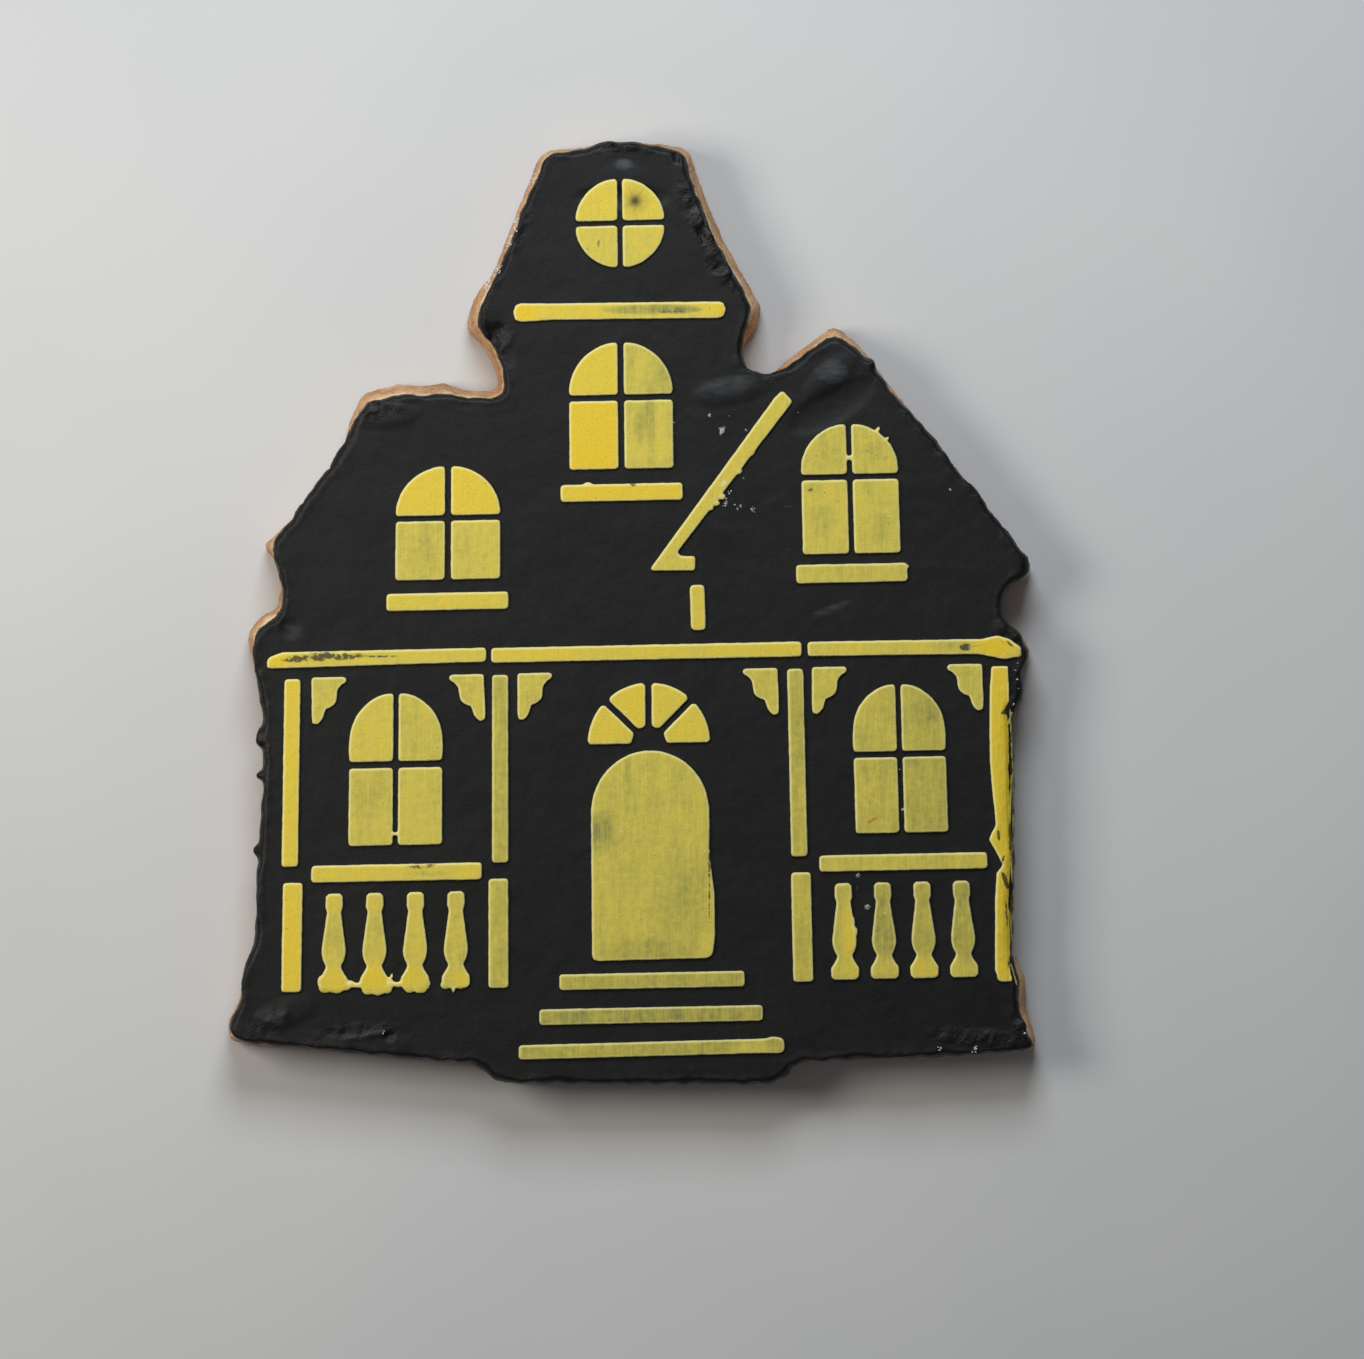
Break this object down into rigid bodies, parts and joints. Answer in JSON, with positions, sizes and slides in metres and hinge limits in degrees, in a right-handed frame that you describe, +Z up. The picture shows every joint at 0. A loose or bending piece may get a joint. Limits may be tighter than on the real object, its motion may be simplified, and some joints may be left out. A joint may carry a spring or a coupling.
{
  "type": "sugar cookie",
  "caption": "Flat cut-out sugar cookie in the outline of an old house with a tower, coated in black icing, with windows, door, porch and steps in yellow icing.",
  "frame": {"origin": "middle of the cookie's outline, on the flat underside it lies on", "axes": "+Z up out of the iced face, +Y towards the top of the tower, +X towards the house's right side as it is looked at"},
  "size_m": [0.0975, 0.1137, 0.0089],
  "materials": {
    "biscuit": "dry, sandy, golden baked crumb",
    "black_icing": "dried icing with a soft satin sheen",
    "yellow_icing": "thin matt icing scraped on through a stencil"
  },
  "bodies": {
    "root": {"attic_pane_bottom_left": "yellow_icing", "attic_pane_bottom_right": "yellow_icing", "attic_pane_top_left": "yellow_icing", "attic_pane_top_right": "yellow_icing", "biscuit": "biscuit", "black_icing": "black_icing", "door": "yellow_icing", "fanlight_wedge_1": "yellow_icing", "fanlight_wedge_2": "yellow_icing", "fanlight_wedge_3": "yellow_icing", "fanlight_wedge_4": "yellow_icing", "left_baluster_4": "yellow_icing", "left_balusters_joined": "yellow_icing", "left_gable_arch_left": "yellow_icing", "left_gable_arch_right": "yellow_icing", "left_gable_pane_left": "yellow_icing", "left_gable_pane_right": "yellow_icing", "left_gable_sill": "yellow_icing", "left_porch_arch_left": "yellow_icing", "left_porch_arch_right": "yellow_icing", "left_porch_panes": "yellow_icing", "lower_post_left_inner": "yellow_icing", "lower_post_left_outer": "yellow_icing", "lower_post_right_inner": "yellow_icing", "porch_beam_centre": "yellow_icing", "porch_beam_left": "yellow_icing", "porch_beam_right": "yellow_icing", "porch_rail_left": "yellow_icing", "porch_rail_right": "yellow_icing", "right_baluster_1": "yellow_icing", "right_baluster_2": "yellow_icing", "right_baluster_3": "yellow_icing", "right_baluster_4": "yellow_icing", "right_gable_arches": "yellow_icing", "right_gable_pane_left": "yellow_icing", "right_gable_pane_right": "yellow_icing", "right_gable_sill": "yellow_icing", "right_porch_arch_left": "yellow_icing", "right_porch_arch_right": "yellow_icing", "right_porch_pane_left": "yellow_icing", "right_porch_pane_right": "yellow_icing", "right_post_spilt": "yellow_icing", "roof_brace": "yellow_icing", "roof_stub": "yellow_icing", "step_bottom": "yellow_icing", "step_middle": "yellow_icing", "step_top": "yellow_icing", "tower_arch_left": "yellow_icing", "tower_arch_right": "yellow_icing", "tower_cornice": "yellow_icing", "tower_pane_left": "yellow_icing", "tower_pane_right": "yellow_icing", "tower_sill": "yellow_icing", "upper_post_left_inner": "yellow_icing", "upper_post_left_outer": "yellow_icing", "upper_post_right_inner": "yellow_icing"}
  },
  "joints": []
}
